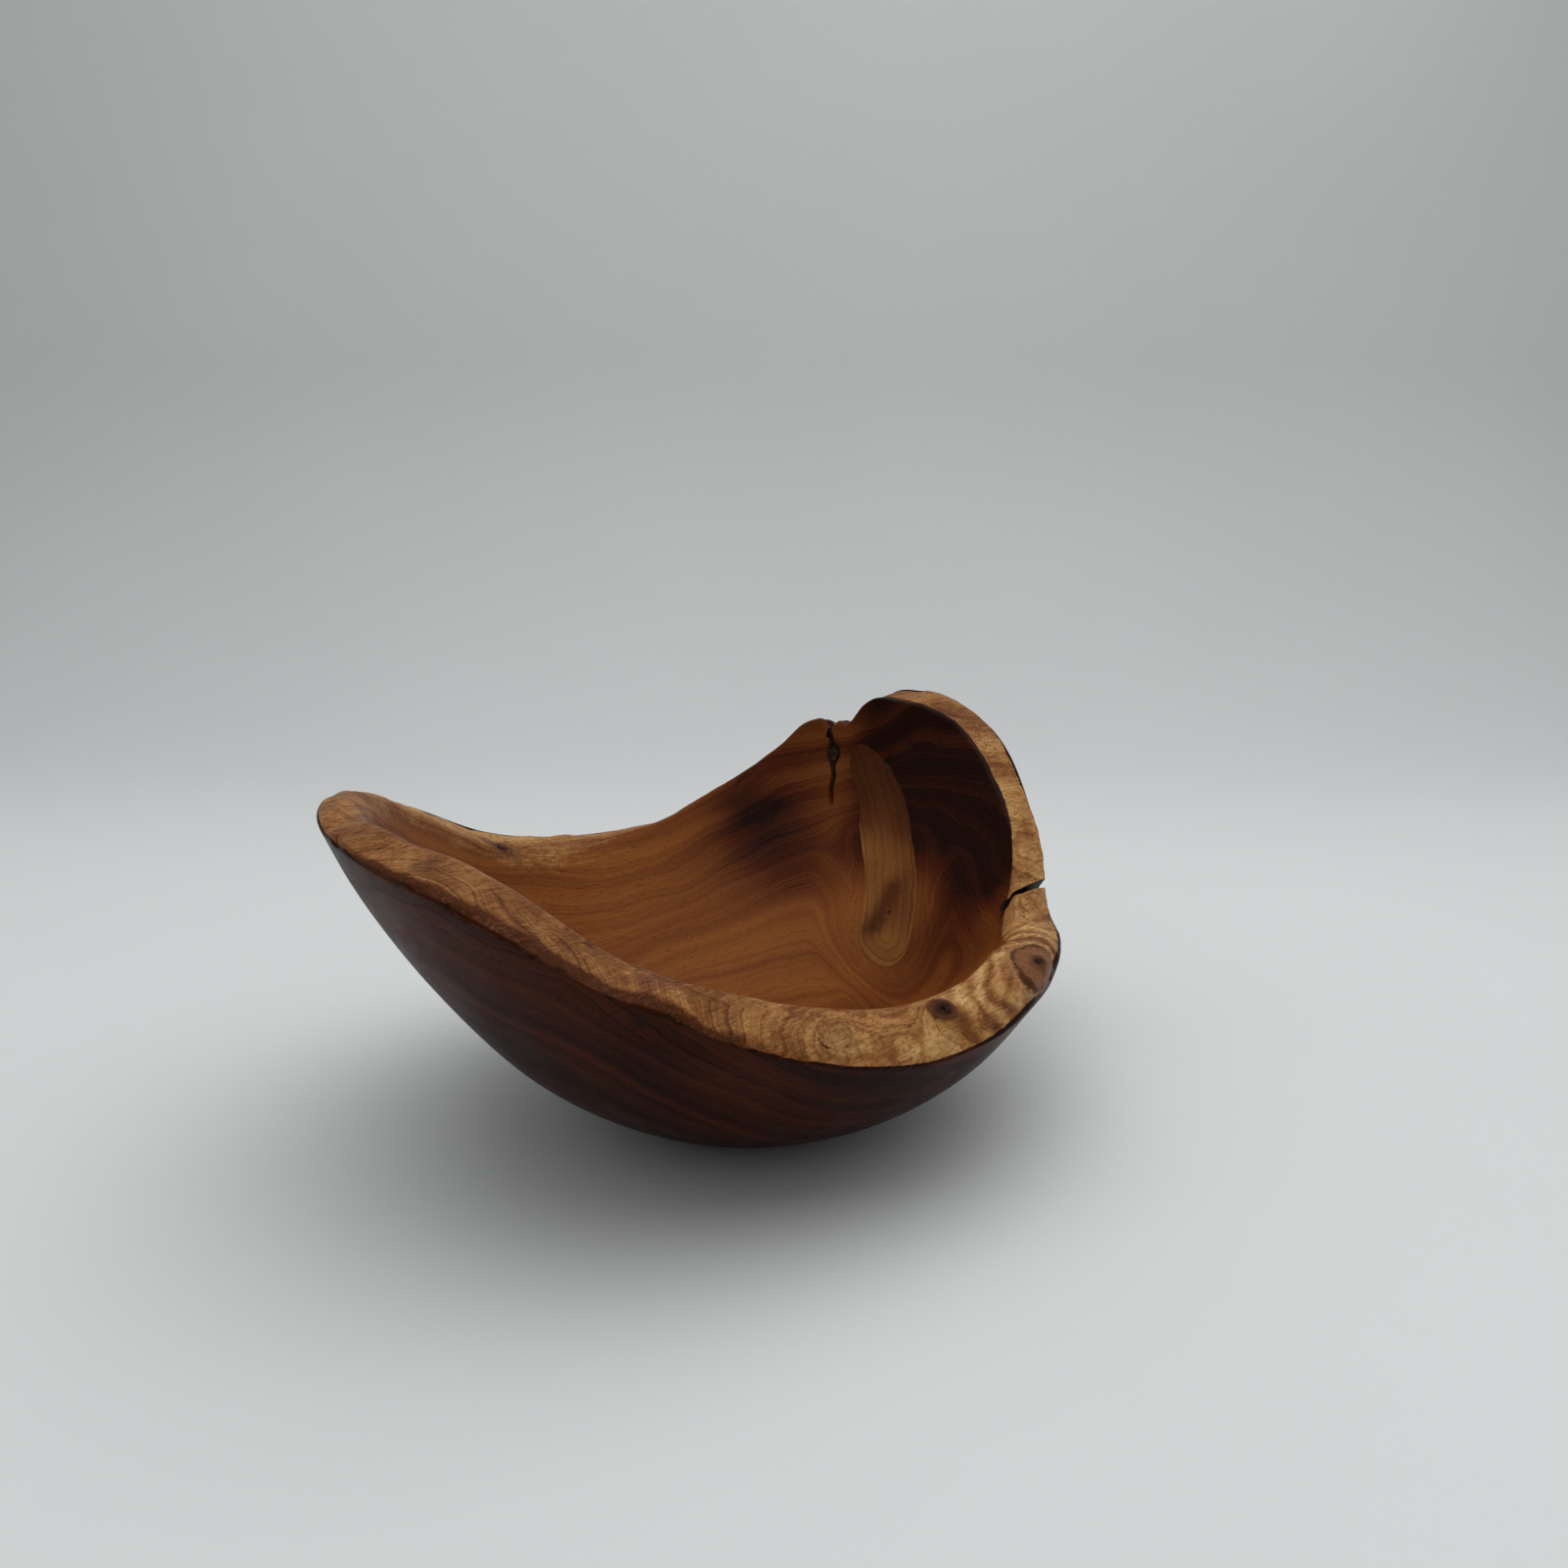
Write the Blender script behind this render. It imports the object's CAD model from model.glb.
"""Looks of the natural-edge wooden bowl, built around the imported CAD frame.

The wood is made as closed meshes on one grid: azimuth round the turning axis, and a profile that runs from
the foot up the outside, over the log's own surface that forms the rim, and down the hollow to its floor.
Lengths in this file are millimetres and angles degrees until a mesh is made.
"""
import math

import bpy
import numpy as np
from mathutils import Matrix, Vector


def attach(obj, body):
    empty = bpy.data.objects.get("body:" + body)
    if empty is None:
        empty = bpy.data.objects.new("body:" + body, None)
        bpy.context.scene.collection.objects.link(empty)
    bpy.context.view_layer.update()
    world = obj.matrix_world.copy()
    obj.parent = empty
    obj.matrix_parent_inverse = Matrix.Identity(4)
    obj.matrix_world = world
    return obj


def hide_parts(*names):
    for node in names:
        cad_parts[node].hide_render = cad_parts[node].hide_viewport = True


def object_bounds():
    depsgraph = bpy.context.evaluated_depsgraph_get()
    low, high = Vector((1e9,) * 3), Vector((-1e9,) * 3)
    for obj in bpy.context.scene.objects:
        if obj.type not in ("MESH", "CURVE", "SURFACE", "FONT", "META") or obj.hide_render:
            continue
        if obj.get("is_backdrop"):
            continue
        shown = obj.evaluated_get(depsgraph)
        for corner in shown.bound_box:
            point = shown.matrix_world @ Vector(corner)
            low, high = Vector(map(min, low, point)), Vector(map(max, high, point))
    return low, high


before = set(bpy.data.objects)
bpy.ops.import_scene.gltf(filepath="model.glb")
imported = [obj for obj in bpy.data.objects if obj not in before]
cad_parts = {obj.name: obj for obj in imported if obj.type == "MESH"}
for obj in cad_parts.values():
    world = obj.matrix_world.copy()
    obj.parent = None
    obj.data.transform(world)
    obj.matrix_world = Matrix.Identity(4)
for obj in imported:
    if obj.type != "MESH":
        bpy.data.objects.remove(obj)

MM = 0.001
cad_low, cad_high = (np.array(corner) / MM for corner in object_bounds())


# ---------------- turned shape
FOOT_RADIUS = 36.2
FLOOR_HEIGHT = 15.0
HOLLOW_SHIFT = np.array([0.0, 5.3, 0.0])
TABLE_TOP = 150.0


class TurnedWall:
    """Radius against height of a turned surface: a lower arc that runs smoothly into a flatter upper arc."""

    def __init__(self, start, lower_radius, join, upper_radius):
        start, join = np.array(start, float), np.array(join, float)
        chord = join - start
        half = np.linalg.norm(chord) / 2
        left = np.array([-chord[1], chord[0]]) / (2 * half)
        low_centre = (start + join) / 2 + left * math.sqrt(lower_radius ** 2 - half ** 2)
        outward = (join - low_centre) / lower_radius
        high_centre = join - outward * upper_radius
        begin, bend = (math.atan2(p[1] - low_centre[1], p[0] - low_centre[0]) for p in (start, join))
        end = math.asin((TABLE_TOP - high_centre[1]) / upper_radius)
        low = np.linspace(begin, bend, 400)
        high = np.linspace(bend, end, 400)[1:]
        self.radii = np.concatenate([low_centre[0] + lower_radius * np.cos(low),
                                     high_centre[0] + upper_radius * np.cos(high)])
        self.heights = np.concatenate([low_centre[1] + lower_radius * np.sin(low),
                                       high_centre[1] + upper_radius * np.sin(high)])
        steps = np.hypot(np.diff(self.radii), np.diff(self.heights))
        self.runs = np.concatenate([[0.0], np.cumsum(steps)])

    def radius(self, height):
        return np.interp(height, self.heights, self.radii)

    def run(self, height):
        """Distance along the wall from its start."""
        return np.interp(height, self.heights, self.runs)

    def at_run(self, run):
        return np.interp(run, self.runs, self.radii), np.interp(run, self.runs, self.heights)


outside = TurnedWall((FOOT_RADIUS, 0.0), 123.4, (86.5, 33.3), 249.1)
hollow = TurnedWall((0.0, FLOOR_HEIGHT), 112.0, (81.33, 50.0), 187.0)

# Heights of the rim's outer and inner edge, every 15 degrees from +X: the same as in the CAD model.
RIM_HEIGHTS = np.array([
    (115, 115), (128, 125), (112, 116), (84, 97), (74, 81.5), (72, 72.5),
    (73, 70), (80, 74), (95, 88), (105, 105), (108, 110), (106, 109),
    (103, 106), (95, 97), (78, 80), (63, 73), (53, 66), (48, 62),
    (49, 63), (51, 66), (52, 64), (56, 62), (62, 75), (87, 93),
], float)
# How far the natural edge falls inside the turned outside, every 15 degrees from +X.
EDGE_PULL = np.array([0.0] * 18 + [0.7, 2.6, 1.3, -0.5, 0.2, 1.0])
# Azimuths of the crack and the notch, and how far from them the rim's two stretches end.
CRACK, CRACK_HALF = -27.0, 0.75
NOTCH, NOTCH_HALF = 28.5, 0.36


def turn_from(azimuth, centre):
    """Signed angle from centre to azimuth, -180 to 180."""
    return (np.asarray(azimuth) - centre + 180.0) % 360.0 - 180.0


def azimuth_of(points):
    return np.degrees(np.arctan2(points[..., 1], points[..., 0]))


def bump(x, width):
    return np.exp(-(np.asarray(x) / width) ** 2)


def ease(x, low, high):
    """0 below low, 1 above high, smooth between."""
    t = np.clip((np.asarray(x, float) - low) / (high - low), 0.0, 1.0)
    return t * t * (3.0 - 2.0 * t)


def around(values, azimuth):
    """Smooth closed curve through values that are evenly spaced round the bowl."""
    count = len(values)
    place = (np.asarray(azimuth, float) % 360.0) / 360.0 * count
    index = np.floor(place).astype(int)
    t = (place - index)[..., None] if values.ndim > 1 else place - index
    p0, p1, p2, p3 = (values[(index + k) % count] for k in (-1, 0, 1, 2))
    return p1 + 0.5 * t * (p2 - p0 + t * (2 * p0 - 5 * p1 + 4 * p2 - p3 + t * (3 * (p1 - p2) + p3 - p0)))


def edge_heights(azimuth):
    heights = around(RIM_HEIGHTS, azimuth)
    shoulder = 2.0 * bump(turn_from(azimuth, 19.5), 3.0) + 3.2 * bump(turn_from(azimuth, 34), 3.5)
    notch = 5.0 * bump(turn_from(azimuth, NOTCH), 1.2) + 6.0 * bump(turn_from(azimuth, 25.0), 2.2)
    step = 0.9 * bump(turn_from(azimuth, 126), 2.5)
    return heights + (shoulder - notch + step)[..., None]


# ---------------- solid noise
def lattice_noise(points, size, seed):
    """Smooth noise of mean 0 and range about -1 to 1, in a lattice of cells of that size."""
    table = np.random.default_rng(seed).uniform(-1, 1, (32, 32, 32))
    place = points / size + seed * 7.31
    cell = np.floor(place).astype(int)
    t = place - cell
    t = t * t * t * (t * (t * 6 - 15) + 10)
    total = 0.0
    for corner in np.ndindex(2, 2, 2):
        weight = 1.0
        index = []
        for axis, step in enumerate(corner):
            weight = weight * (t[..., axis] if step else 1 - t[..., axis])
            index.append((cell[..., axis] + step) % 32)
        total = total + weight * table[index[0], index[1], index[2]]
    return total * 1.6


# ---------------- the main grid
RIM_COLUMNS = 1440
WALL_SPLIT = 4.0


def column_azimuths():
    """Azimuths of the grid's columns, closer together at the crack and at the notch."""
    fine = np.linspace(-180, 180, 20001)
    density = 1 + 6 * bump(turn_from(fine, CRACK), 1.6) + 3 * bump(turn_from(fine, NOTCH), 3.0)
    total = np.concatenate([[0], np.cumsum((density[1:] + density[:-1]) / 2)])
    return np.interp(np.arange(RIM_COLUMNS) / RIM_COLUMNS * total[-1], total, fine)


azimuths = column_azimuths()
# The crack runs askew across the rim, so the columns lean with it there.
inner_azimuths = azimuths - 11.0 * bump(turn_from(azimuths, CRACK), 18)


def level_direction(azimuth):
    """Level unit vector at an azimuth."""
    angle = np.radians(azimuth)
    return np.stack([np.cos(angle), np.sin(angle), angle * 0], axis=-1)


outer_edge_run = outside.run(edge_heights(azimuths)[:, 0])
# Near the left tip the inner edge stands higher than in the CAD model.
tip_raise = 6.0 * bump(turn_from(azimuths, 194), 24)
inner_edge_run = hollow.run(edge_heights(inner_azimuths)[:, 1] + tip_raise)


def wall_points(wall, runs, step=1):
    """Points on a turned wall, one row of the grid for each column of runs."""
    radii, heights = wall.at_run(runs)
    if wall is outside:
        below = outer_edge_run[::step, None] - runs
        radii = radii - around(EDGE_PULL, azimuths[::step])[:, None] * np.exp(-(below / 16) ** 2)
    centre = HOLLOW_SHIFT if wall is hollow else 0.0
    facing = level_direction((inner_azimuths if wall is hollow else azimuths)[::step])
    return centre + radii[..., None] * facing[:, None] + heights[..., None] * np.array([0, 0, 1.0])


def rim_sizes():
    """Fillet of the outer edge, fillet of the inner edge and crown of the face between, at each column."""
    tip = bump(turn_from(azimuths, 172), 38)
    crown = bump(turn_from(azimuths, 5), 30)
    outer_fillet = 0.8 + 0.3 * tip + 2.4 * bump(turn_from(azimuths, 303), 22)
    inner_fillet = 4.0 + 7.0 * tip - 2.6 * crown
    crowned = 0.25 + 1.2 * bump(turn_from(azimuths, 270), 50)
    return outer_fillet, inner_fillet, crowned


def fillet(before, corner, after, count):
    t = np.linspace(0, 1, count)[None, :, None]
    return (1 - t) ** 2 * before + 2 * t * (1 - t) * corner + t ** 2 * after


def straight(first, last, count):
    t = np.linspace(0, 1, count)[None, :, None]
    return first + (last - first) * t


BAND_ROWS, OUTER_FILLET_ROWS, INNER_FILLET_ROWS = 26, 7, 9


def rim_grid():
    """The rim's visible surface: up the outside, over the log's face, down into the hollow.

    Beside the burl and beside the tip the rim is thicker and swells a little into the hollow.
    """
    outer_fillet, inner_fillet, crowned = rim_sizes()
    split_inside = inner_fillet + 2.0

    def outer_point(below):
        return wall_points(outside, (outer_edge_run - below)[:, None])

    def inner_point(below):
        return wall_points(hollow, (inner_edge_run - below)[:, None])

    outer_edge, inner_edge = outer_point(0.0), inner_point(0.0)
    across = inner_edge - outer_edge
    across /= np.linalg.norm(across, axis=2, keepdims=True)
    face_start = outer_edge + across * outer_fillet[:, None, None]
    face_end = inner_edge - across * np.minimum(inner_fillet, 6.5)[:, None, None]
    face = straight(face_start, face_end, BAND_ROWS)
    upward = np.cross(across, level_direction(azimuths + 90)[:, None])
    upward *= np.sign(upward[..., 2:])
    arch = np.sin(np.linspace(0, math.pi, BAND_ROWS))[None, :, None]
    face += upward * crowned[:, None, None] * arch
    parts = [
        straight(outer_point(WALL_SPLIT), outer_point(outer_fillet), 3)[:, :-1],
        fillet(outer_point(outer_fillet), outer_edge, face_start, OUTER_FILLET_ROWS)[:, :-1],
        face,
        fillet(face_end, inner_edge, inner_point(inner_fillet), INNER_FILLET_ROWS)[:, 1:],
        straight(inner_point(inner_fillet), inner_point(split_inside), 3)[:, 1:],
    ]
    grid = np.concatenate(parts, axis=1)
    burl_swelling = 4.6 * bump(turn_from(azimuths, 288), 13)
    tip_swelling = 4.4 * bump(turn_from(azimuths, 192), 20)
    inward = ease(np.arange(grid.shape[1]), 12, 34)
    swelling = (burl_swelling + tip_swelling)[:, None] * inward[None]
    grid -= swelling[..., None] * level_direction(azimuths)[:, None]
    return grid, outer_edge_run - WALL_SPLIT, inner_edge_run - split_inside


rim, outer_split_run, inner_split_run = rim_grid()
FACE_START = 2 + OUTER_FILLET_ROWS - 1
FACE_END = FACE_START + BAND_ROWS - 1
rows_of_rim = np.arange(rim.shape[1])
on_face = ease(rows_of_rim, FACE_START - 5, FACE_START) * (1 - ease(rows_of_rim, FACE_END, FACE_END + 7))
share = np.clip((rows_of_rim - FACE_START) / (BAND_ROWS - 1), -0.3, 1.6)


def grid_normals(grid, closed=True):
    """Unit normals of a grid, out of the wood; the first axis goes anticlockwise round the bowl."""
    if closed:
        round_step = np.roll(grid, -1, axis=0) - np.roll(grid, 1, axis=0)
    else:
        round_step = np.gradient(grid, axis=0)
    row_step = np.gradient(grid, axis=1)
    normal = np.cross(round_step, row_step)
    return normal / np.maximum(np.linalg.norm(normal, axis=2, keepdims=True), 1e-9)


# Knots on the rim's face: azimuth, share of the way across, half lengths round and across, mound's height.
KNOTS = {
    "knot_burl": dict(azimuth=291.0, share=0.47, round=18.5, across=8.2, mound=3.8),
    "knot_front": dict(azimuth=262.3, share=0.86, round=5.0, across=4.0, mound=1.7),
    "knot_ringed": dict(azimuth=240.0, share=0.62, round=6.5, across=5.0, mound=0.5),
    "knot_tip": dict(azimuth=172.0, share=0.75, round=7.0, across=7.0, mound=0.3),
    "knot_back": dict(azimuth=108.0, share=1.14, round=9.0, across=3.2, mound=0.1),
}


def rim_place(azimuth, part):
    """Point of the smooth rim at an azimuth and a share of the way across the face; part may be past 1."""
    column = np.argmin(np.abs(turn_from(azimuths, azimuth)))
    row = FACE_START + part * (BAND_ROWS - 1)
    low = int(row)
    return smooth_rim[column, low] * (1 - row + low) + smooth_rim[column, low + 1] * (row - low)


def knot_frame(name):
    """A knot's centre and the unit direction across the rim there."""
    knot = KNOTS[name]
    azimuth = knot["azimuth"]
    first, last = (1.1, 1.35) if knot["share"] > 1 else (0.0, 1.0)
    across_dir = rim_place(azimuth, last) - rim_place(azimuth, first)
    return rim_place(azimuth, knot["share"]), across_dir / np.linalg.norm(across_dir)


def knot_distance(points, name):
    """Distance from a knot's centre in units of its half lengths."""
    knot = KNOTS[name]
    centre, across_dir = knot_frame(name)
    offset = points - centre
    tangent = level_direction(knot["azimuth"] + 90)
    return np.hypot(offset @ tangent / knot["round"], offset @ across_dir / knot["across"])


smooth_rim = rim.copy()


def rim_relief(points):
    """Height of the log's lumps, mounds and pits above the plain face, at each point of the rim grid."""
    relief = 0.75 * lattice_noise(points, 21.0, 3) + 0.38 * lattice_noise(points, 8.5, 5)
    relief += 0.16 * lattice_noise(points, 3.4, 7)
    stipple = ease(-turn_from(azimuths, 330), 5, 60) * ease(turn_from(azimuths, 215), -10, 10)
    relief += 0.13 * stipple[:, None] * lattice_noise(points, 1.5, 11)
    for name, knot in KNOTS.items():
        distance = knot_distance(points, name)
        inward = ease(share, -0.1, 0.4)[None]
        relief += inward * knot["mound"] * np.exp(-(distance / 1.1) ** 2)
        relief -= inward * 0.12 * knot["mound"] * bump(distance - 1.3, 0.22)
    offset = points - rim_place(216, 0.42)
    relief += 2.0 * np.exp(-(offset ** 2).sum(-1) / 9.0 ** 2)
    return relief


def outer_edge_pits(points):
    """Ragged pits along the outer edge, deeper where bark clung on the left."""
    where = lattice_noise(points, 4.2, 17) + 0.7 * lattice_noise(points, 1.9, 19)
    left = ease(turn_from(azimuths, 200), -45, 0) * (1 - ease(turn_from(azimuths, 200), 38, 62))
    strength = (0.03 + 0.55 * left)[:, None] * bump(rows_of_rim - (FACE_START - 1), 3.0)[None]
    return strength * ease(where, 0.35, 1.1) * 1.3


def sculpt_rim():
    """The rim as it looks, and the rim with a pocket under each knot, which the knot's plug fills."""
    normals = grid_normals(rim)
    relief = rim_relief(rim) * on_face[None]
    step = turn_from(azimuths, CRACK)
    burl_side = ease(-step, 0.0, 0.4) * (1 - ease(-step, 1.5, 14))
    relief += (1.2 * burl_side)[:, None] * on_face[None] * ease(share, 0.0, 0.5)[None]
    relief -= outer_edge_pits(rim)
    skin = rim + normals * relief[..., None]
    pockets = sum(2.0 * (1 - ease(knot_distance(rim, name), 0.72, 0.86)) for name in KNOTS)
    return skin, skin - normals * (pockets * on_face[None])[..., None]


rim_skin, rim = sculpt_rim()
rim_steps = np.linalg.norm(np.diff(rim_skin, axis=1), axis=2).cumsum(1)
rim_depth = np.concatenate([np.zeros((RIM_COLUMNS, 1)), rim_steps], axis=1)
rim_depth = np.maximum(rim_depth - rim_depth[:, FACE_END:FACE_END + 1], 0)


# ---------------- heartwood grids
HEART_STEP = 2
OUTSIDE_ROWS, HOLLOW_ROWS = 46, 84
STREAK_AZIMUTH = 12.0
STREAK_FOOT, STREAK_TOP = 33.0, 106.0


def pit(points, place, radius, depth):
    """Depth of a small round pit at a place."""
    distance = np.linalg.norm(points - place, axis=-1) / radius
    return depth * np.exp(-distance ** 4)


def hollow_place(azimuth, height):
    """Point on the hollow's wall."""
    return HOLLOW_SHIFT + hollow.radius(height) * level_direction(azimuth) + np.array([0, 0, height])


def outside_place(azimuth, height):
    return outside.radius(height) * level_direction(azimuth) + np.array([0, 0, height])


def segment_distance(points, first, last):
    """Distance of each point from the straight stretch between two places."""
    along = last - first
    t = np.clip(((points - first) @ along) / (along @ along), 0, 1)
    return np.linalg.norm(points - first - t[..., None] * along, axis=-1)


def groove(points, path, width, depth):
    """Depth of a narrow groove along a path of points."""
    nearest = np.min([segment_distance(points, *ends) for ends in zip(path[:-1], path[1:])], axis=0)
    return depth * np.clip(1 - nearest / width, 0, 1)


def hollow_path(*places):
    return [hollow_place(azimuth, height) for azimuth, height in places]


VOID = hollow_place(27.0, 102.0)
FISSURE_PATH = hollow_path(
    (28.3, 112), (27.8, 108), (27.2, 103), (27.0, 98), (26.3, 93), (26.6, 88), (26.0, 83))
CRACK_INSIDE = hollow_path((-38.0, 72), (-38.6, 66), (-40.0, 59))
CRACK_OUTSIDE = [outside_place(-27.0, 70), outside_place(-27.6, 62), outside_place(-28.5, 55)]
WORM_HOLE = hollow_place(0.5, 47.5)
# Pits in the walls: azimuth, height, radius, depth.
WALL_PITS = [(14.5, 100.5, 1.9, 1.6), (3.5, 109.5, 1.1, 1.2), (10.5, 108, 1.3, 1.0), (20, 116, 1.4, 0.7)]
OUTSIDE_PITS = [(213.0, 70.5, 1.6, 1.0), (188.0, 67.8, 0.9, 0.5)]


def hollow_relief(points):
    depth = groove(points, FISSURE_PATH, 1.1, 3.0) + groove(points, CRACK_INSIDE, 0.55, 2.5)
    stretched = (points - VOID) * np.array([1, 1, 0.5])
    depth += 4.0 * np.exp(-(np.linalg.norm(stretched, axis=-1) / 2.4) ** 4)
    for azimuth, height, radius, deep in WALL_PITS:
        depth += pit(points, hollow_place(azimuth, height), radius, deep)
    depth += pit(points, WORM_HOLE, 1.0, 1.5)
    wobble = 0.22 * lattice_noise(points, 30.0, 23)
    return wobble - depth


def outside_relief(points):
    depth = groove(points, CRACK_OUTSIDE, 0.55, 2.5)
    for azimuth, height, radius, deep in OUTSIDE_PITS:
        depth += pit(points, outside_place(azimuth, height), radius, deep)
    return 0.25 * lattice_noise(points, 34.0, 29) - depth


def wall_grid(wall, split_run, rows, edge, relief, power):
    """Grid from the rim's edge down a turned wall, with its relief; its first rows bend to meet the edge."""
    fractions = (1 - np.linspace(0, 1, rows)) ** power
    grid = wall_points(wall, split_run[::HEART_STEP, None] * fractions[None], HEART_STEP)
    normals = grid_normals(grid)
    if wall is outside:
        normals = -normals
    hold = ease(np.arange(rows), 0, 4) * (1 - ease(np.arange(rows), rows - 4, rows - 1))
    normals[:, -1] = (0, 0, 1)
    grid = grid + normals * (relief(grid) * hold[None])[..., None]
    fade = 1 - ease(np.arange(rows), 0, 13)
    return grid + (edge - grid[:, 0])[:, None] * fade[None, :, None]


outside_grid = wall_grid(outside, outer_split_run, OUTSIDE_ROWS, rim[::HEART_STEP, 0], outside_relief, 1.0)
hollow_grid = wall_grid(hollow, inner_split_run, HOLLOW_ROWS, rim[::HEART_STEP, -1], hollow_relief, 1.12)


# ---------------- wood fields
def streak_centre(height):
    """Sideways place of the streak's middle, square to its azimuth."""
    rise = height - 40.0
    return -14.5 + 0.43 * rise + 0.0022 * rise ** 2


STREAK_HALF = 12.3
STREAK_BEND = 41.0


def streak_distance(points):
    """Distance from the streak's middle line, rounding its foot, measured over the hollow's wall."""
    height = points[..., 2]
    sideways = points @ level_direction(STREAK_AZIMUTH + 90)
    sideways = (sideways - streak_centre(np.maximum(height, STREAK_BEND))) * 0.93
    below = hollow.run(STREAK_BEND) - hollow.run(np.minimum(height, STREAK_BEND))
    drift = sideways + 0.35 * below
    return np.hypot(drift, below)


def blob(points, place, size, stretch=(1, 1, 1)):
    """1 at a place, fading out at about that size from it."""
    offset = (points - place) * np.array(stretch) / size
    return np.exp(-(offset ** 2).sum(-1))


def capsule(points, first, last, size):
    """1 on the line between two places, fading out at about that size from it."""
    return np.exp(-(segment_distance(points, first, last) / size) ** 2)


LOG_AXIS_HEIGHT = -6.0


def log_rings(points):
    """Distance from the log's heart, bent by slow waves: the growth rings are its level surfaces."""
    rings = np.hypot(points[..., 1] - 4.0, points[..., 2] - LOG_AXIS_HEIGHT)
    rings += 0.06 * points[..., 0]
    rings += 5.0 * lattice_noise(points * np.array([0.45, 1, 1]), 42.0, 31)
    return rings + 1.6 * lattice_noise(points * np.array([0.5, 1, 1]), 15.0, 37)


def growth_levels(points, inside, azimuth, share_of_face):
    """Growth rings: round the log's heart, the streak's foot and the knots, and along the rim at the tip."""
    streak = streak_distance(points)
    near_streak = inside * (1 - ease(streak, 14, 34)) * (1 - ease(points[..., 2], 66, 84))
    growth = log_rings(points) * (1 - near_streak) + (72 + streak * 0.9) * near_streak
    for name, knot in KNOTS.items():
        growth += knot["round"] * 0.9 * np.exp(-(knot_distance(points, name) / 1.8) ** 2)
    along_tip = bump(turn_from(azimuth, 190), 22) * ease(share_of_face, -0.1, 0.1) * (1 - inside)
    return growth * (1 - along_tip) + along_tip * (34 * share_of_face + 6 * lattice_noise(points, 14.0, 89))


def heartwood_light(points, inside, azimuth):
    """How light the heartwood is: dark under the crown, by the crack and round the notch, darkest outside."""
    height = points[..., 2]
    crown_wall = (1 - ease(np.abs(turn_from(azimuth, -2)), 20, 31)) * ease(height, 48, 72)
    right_wall = (1 - ease(np.abs(turn_from(azimuth, -28)), 12, 30)) * ease(height, 26, 44)
    left_wall = (1 - ease(np.abs(turn_from(azimuth, 130)), 50, 80)) * ease(height, 34, 60)
    purple = blob(points, hollow_place(33, 62), 24) + 0.8 * blob(points, hollow_place(46, 74), 20)
    below_notch = blob(points, hollow_place(36, 92), 20)
    below_notch += blob(points, hollow_place(44, 80), 7, (0.6, 0.6, 1.3))
    glow = capsule(points, hollow_place(57, 26), hollow_place(20, 44), 15)
    hollow_light = 0.46 + 0.10 * lattice_noise(points, 38.0, 41) - 0.38 * crown_wall - 0.22 * right_wall
    hollow_light += 0.06 * left_wall - 0.34 * purple + 0.08 * glow - 0.20 * below_notch
    outside_light = 0.075 + 0.045 * lattice_noise(points, 30.0, 43) - 0.10 * (1 - ease(height, 4, 26))
    return np.clip(hollow_light * inside + outside_light * (1 - inside), 0.02, 1)


# How far across the face the pale sapwood reaches, every 15 degrees from +X; past 1 it goes over the edge.
PALE_END = np.array([0.97, 0.95, 0.55, 0.85, 1.0, 1.1, 1.2, 1.2, 1.2, 1.2, 1.3, 1.45,
                     1.45, 1.45, 1.4, 1.3, 1.2, 1.2, 1.2, 1.25, 1.35, 1.35, 1.3, 1.0])
# How pale the wall just under the inner edge is, every 30 degrees from +X.
PALE_BELOW = np.array([0.0, 0.0, 0.1, 0.4, 0.7, 0.9, 1.0, 0.8, 0.5, 0.3, 0.2, 0.0])
# How dark or light the sapwood is, every 30 degrees from +X.
SAP_TONE = np.array([-0.03, -0.22, -0.12, -0.02, -0.02, -0.10, -0.12, -0.22, -0.03, 0.05, 0.05, 0.06])


def paleness(points, azimuth, share_of_face, below_edge):
    """1 on the sapwood, 0 on the heartwood, with a soft border down the hollow's wall."""
    end = around(PALE_END, azimuth)
    on_rim = ease(share_of_face, -0.05, 0.01) * (1 - ease(share_of_face, end - 0.04, end + 0.04))
    border = around(PALE_BELOW, azimuth) * (1 - ease(below_edge, 4.0, 24.0)) * ease(share_of_face, 0.9, 1.0)
    shade = 0.45 * blob(points, rim_place(186, 0.8), 9)
    shade += 0.35 * blob(points, rim_place(203, 0.35), 11, (0.6, 0.6, 1))
    return np.clip(on_rim + border, 0, 1) * (1 - shade)


def barked(azimuth):
    """1 along the left of the rim, where bark clung to the outer edge."""
    turn = turn_from(azimuth, 200)
    return ease(turn, -40, -10) * (1 - ease(turn, 14, 34))


def sapwood_tone(points, inside, azimuth, share_of_face):
    """Arcs round the burl, a dark halo by the front knot, a pale lump, and a dark strip where bark clung."""
    strip_end = 0.20 + 0.12 * bump(turn_from(azimuth, 204), 18) + 0.07 * lattice_noise(points, 6.0, 73)
    strip = barked(azimuth) * (1 - ease(share_of_face - strip_end, -0.14, 0.14)) * (1 - inside)
    halo = capsule(points, rim_place(264, 0.66), rim_place(265.5, 0.2), 5.0)
    from_burl = knot_distance(points, "knot_burl") + 0.08 * lattice_noise(points, 6.0, 79)
    arcs = np.cos((from_burl - 1.2) * 13.0) * ease(from_burl, 1.0, 1.15) * (1 - ease(from_burl, 1.9, 2.8))
    tone = around(SAP_TONE, azimuth) + 0.12 * blob(points, rim_place(216, 0.42), 8)
    return tone - 0.26 * halo + 0.22 * arcs - 0.85 * strip


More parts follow.
